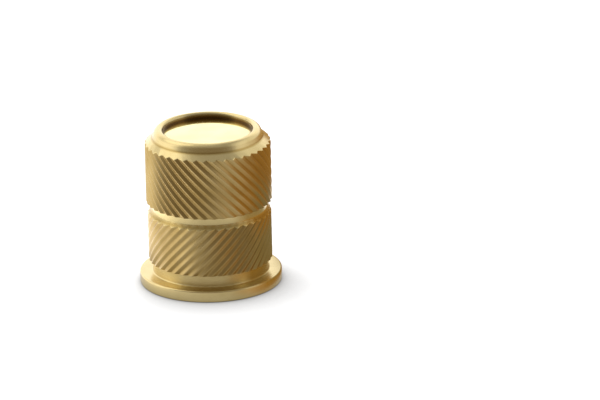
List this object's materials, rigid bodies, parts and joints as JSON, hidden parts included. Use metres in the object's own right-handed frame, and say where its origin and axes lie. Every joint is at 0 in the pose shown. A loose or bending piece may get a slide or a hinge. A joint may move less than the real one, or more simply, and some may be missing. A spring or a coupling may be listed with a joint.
{
  "type": "threaded insert",
  "caption": "Flanged blind threaded insert of turned brass, with opposed helical knurls and an end disc held by a rolled lip, for a screw thread in moulded plastic.",
  "frame": {"origin": "centre of the flange's outer face, on which the insert stands", "axes": "+Z along the insert's axis, from the flange towards the closed end"},
  "size_m": [0.0098, 0.0098, 0.011],
  "materials": {
    "turned_brass": "turned and knurled, satin",
    "polished_brass": "polished flat"
  },
  "bodies": {
    "root": {"insert_body": "turned_brass", "closing_disc": "polished_brass"}
  },
  "joints": []
}
